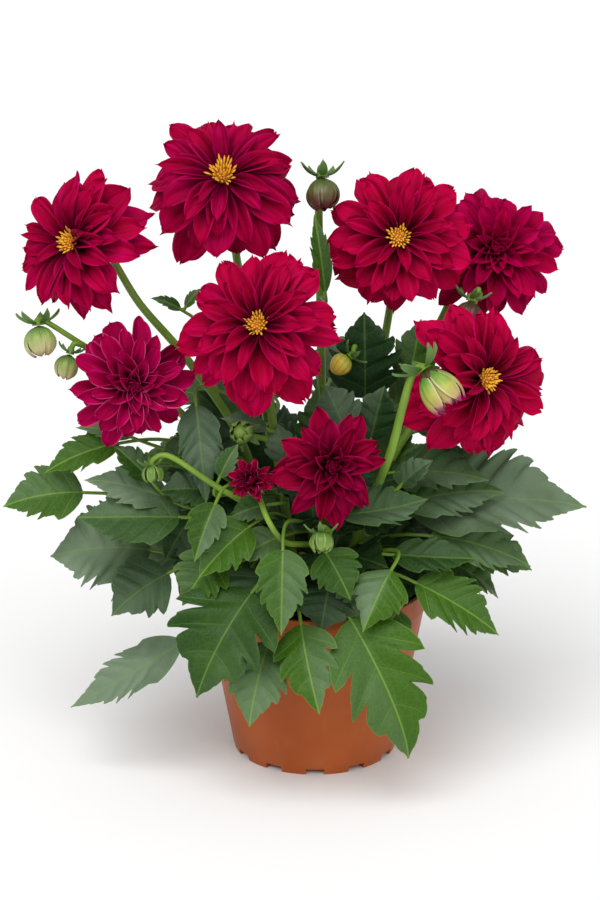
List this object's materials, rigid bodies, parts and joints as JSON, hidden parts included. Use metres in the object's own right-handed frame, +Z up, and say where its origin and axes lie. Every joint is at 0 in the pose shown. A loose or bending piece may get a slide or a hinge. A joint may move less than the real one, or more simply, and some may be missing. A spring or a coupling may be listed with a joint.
{
  "type": "potted dahlia",
  "caption": "Bushy dahlia with layered crimson blooms, nodding buds and toothed green leaves, growing in soil in a plain tapered terracotta-coloured pot.",
  "frame": {"origin": "under the middle of the pot, on the surface that it stands on", "axes": "+Z up along the pot's axis; -Y towards the side that the picture shows; +X to that picture's right"},
  "size_m": [0.354, 0.2461, 0.3927],
  "materials": {
    "pot": "satin",
    "soil": "matte",
    "foliage": "satin",
    "petals": "matte",
    "florets": "matte",
    "bud": "satin",
    "bud_dark": "satin"
  },
  "bodies": {
    "root": {"pot": "pot", "soil": "soil", "shoot_left": "foliage", "shoot_low_left": "foliage", "shoot_middle": "foliage", "shoot_low_middle": "foliage", "shoot_opening": "foliage", "shoot_right": "foliage", "shoot_far_right": "foliage", "shoot_top_right": "foliage", "shoot_back": "foliage", "shoot_top_left": "foliage", "bloom_left": "petals", "bloom_top_left": "petals", "bloom_top_right": "petals", "bloom_far_right": "petals", "bloom_middle": "petals", "bloom_low_left": "petals", "bloom_right": "petals", "bloom_low_middle": "petals", "bloom_young": "petals", "florets_left": "florets", "florets_top_left": "florets", "florets_top_right": "florets", "florets_middle": "florets", "florets_right": "florets", "bud_left": "bud", "bud_left_small": "bud", "bud_top": "bud_dark", "bud_opening": "bud", "bud_yellow": "bud", "bud_dark": "bud_dark"}
  },
  "joints": []
}
